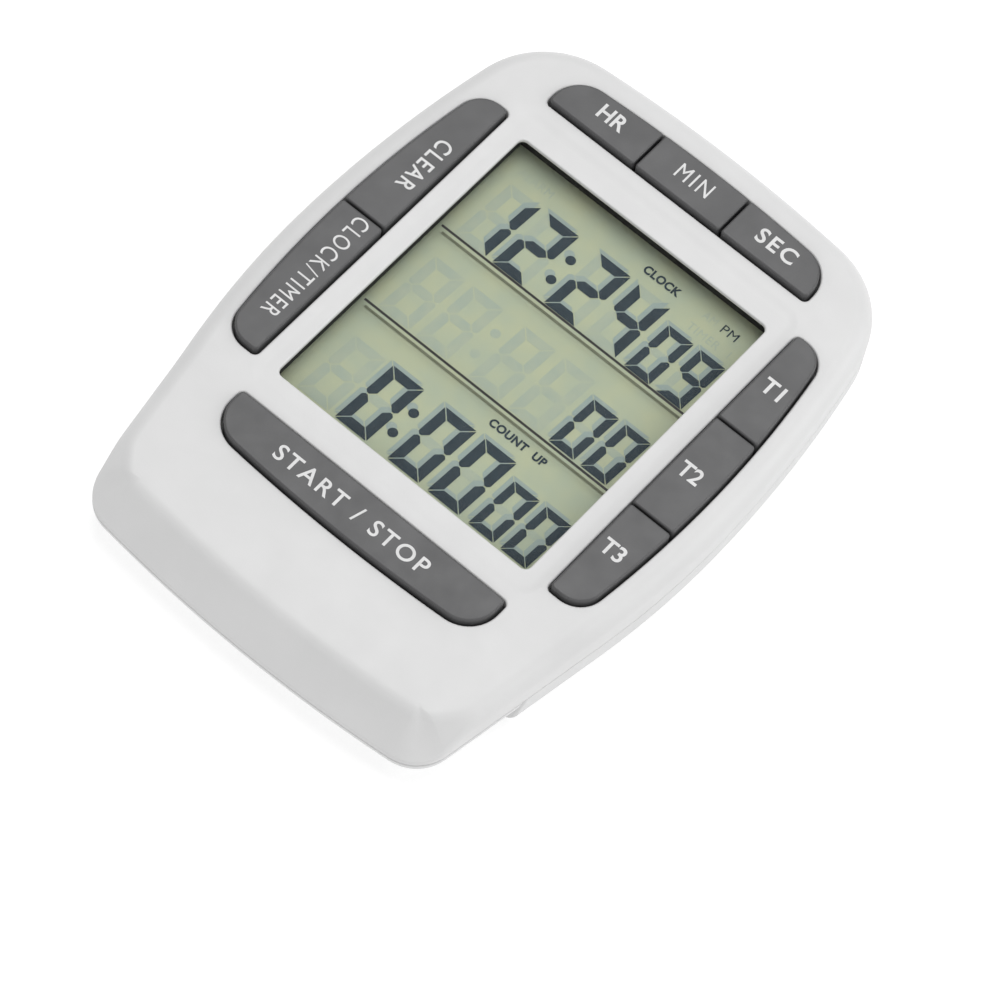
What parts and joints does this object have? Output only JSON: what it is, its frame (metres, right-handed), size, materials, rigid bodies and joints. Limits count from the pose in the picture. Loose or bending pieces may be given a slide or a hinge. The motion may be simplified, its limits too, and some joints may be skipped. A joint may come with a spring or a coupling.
{
  "type": "lab timer",
  "caption": "Flat bench timer with a large LCD window, a ring of push keys, a sliding battery cover at the chin and a fold-out stand on the rear.",
  "frame": {"origin": "on the resting plane, under the middle of the case to within half a millimetre: the case reaches from y -45.5 to 44.5 mm", "axes": "lying on its back: +X across the case to the T1-T3 keys, +Y from the chin to the HR/MIN/SEC end, +Z out of the display"},
  "size_m": [0.065, 0.09, 0.01],
  "materials": {
    "case_white": "fine spark-eroded satin ABS",
    "key_grey": "fine satin ABS, printed legends",
    "black_abs": "matt black ABS",
    "lens": "clear polished acrylic",
    "polariser": "smooth polariser film",
    "lcd_glass": "clear float glass",
    "reflector": "satin grey-green reflector film",
    "zebra_rubber": "silicone with carbon layers",
    "board": "green solder mask on glass-epoxy",
    "epoxy": "black potting resin",
    "ceramic_parts": "fired chip ceramic",
    "silicone": "translucent moulded silicone",
    "brass": "rolled brass disc",
    "piezo_ceramic": "silvered piezo ceramic",
    "steel": "drawn steel",
    "magnet": "nickel-plated magnet",
    "cell_steel": "nickel-plated can",
    "contact_plating": "nickel-plated spring strip",
    "screw_steel": "zinc-plated steel"
  },
  "bodies": {
    "root": {"front_case": "case_white", "rear_case": "case_white", "stand_pin": "steel", "magnets": "magnet", "lcd_frame": "black_abs", "window_lens": "lens", "lcd_polariser": "polariser", "lcd_front_glass": "lcd_glass", "lcd_rear_glass": "lcd_glass", "lcd_reflector": "reflector", "zebra_strip": "zebra_rubber", "main_board": "board", "chip_blob": "epoxy", "crystal_can": "steel", "board_parts": "ceramic_parts", "keypad_mats": "silicone", "buzzer_plate": "brass", "buzzer_ceramic": "piezo_ceramic", "buzzer_springs": "steel", "battery_cell": "cell_steel", "contact_plus": "contact_plating", "contact_minus": "contact_plating", "case_screws": "screw_steel", "board_screws": "screw_steel"},
    "battery_cover": {"battery_cover": "case_white"},
    "stand": {"stand": "case_white"},
    "key_hr": {"key_hr": "key_grey"},
    "key_min": {"key_min": "key_grey"},
    "key_sec": {"key_sec": "key_grey"},
    "key_t1": {"key_t1": "key_grey"},
    "key_t2": {"key_t2": "key_grey"},
    "key_t3": {"key_t3": "key_grey"},
    "key_clear": {"key_clear": "key_grey"},
    "key_clock_timer": {"key_clock_timer": "key_grey"},
    "key_start_stop": {"key_start_stop": "key_grey"}
  },
  "joints": [
    {"name": "press_hr", "type": "slide", "parent": "root", "child": "key_hr", "axis": [0, 0, -1], "range_m": [0, 0.0008], "stiffness_N_per_m": 600, "springref_m": -0.0005, "deforming": ["keypad_mats"]},
    {"name": "press_min", "type": "slide", "parent": "root", "child": "key_min", "axis": [0, 0, -1], "range_m": [0, 0.0008], "stiffness_N_per_m": 600, "springref_m": -0.0005, "deforming": ["keypad_mats"]},
    {"name": "press_sec", "type": "slide", "parent": "root", "child": "key_sec", "axis": [0, 0, -1], "range_m": [0, 0.0008], "stiffness_N_per_m": 600, "springref_m": -0.0005, "deforming": ["keypad_mats"]},
    {"name": "press_t1", "type": "slide", "parent": "root", "child": "key_t1", "axis": [0, 0, -1], "range_m": [0, 0.0008], "stiffness_N_per_m": 600, "springref_m": -0.0005, "deforming": ["keypad_mats"]},
    {"name": "press_t2", "type": "slide", "parent": "root", "child": "key_t2", "axis": [0, 0, -1], "range_m": [0, 0.0008], "stiffness_N_per_m": 600, "springref_m": -0.0005, "deforming": ["keypad_mats"]},
    {"name": "press_t3", "type": "slide", "parent": "root", "child": "key_t3", "axis": [0, 0, -1], "range_m": [0, 0.0008], "stiffness_N_per_m": 600, "springref_m": -0.0005, "deforming": ["keypad_mats"]},
    {"name": "press_clear", "type": "slide", "parent": "root", "child": "key_clear", "axis": [0, 0, -1], "range_m": [0, 0.0008], "stiffness_N_per_m": 600, "springref_m": -0.0005, "deforming": ["keypad_mats"]},
    {"name": "press_clock_timer", "type": "slide", "parent": "root", "child": "key_clock_timer", "axis": [0, 0, -1], "range_m": [0, 0.0008], "stiffness_N_per_m": 600, "springref_m": -0.0005, "deforming": ["keypad_mats"]},
    {"name": "press_start_stop", "type": "slide", "parent": "root", "child": "key_start_stop", "axis": [0, 0, -1], "range_m": [0, 0.0008], "stiffness_N_per_m": 600, "springref_m": -0.0005, "deforming": ["keypad_mats"]},
    {"name": "stand_hinge", "type": "hinge", "parent": "root", "child": "stand", "pos_m": [0, 0.016, 0.00125], "axis": [1, 0, 0], "range_deg": [0, 65]},
    {"name": "battery_cover_slide", "type": "slide", "parent": "root", "child": "battery_cover", "axis": [0, -1, 0], "range_m": [0, 0.008]}
  ]
}
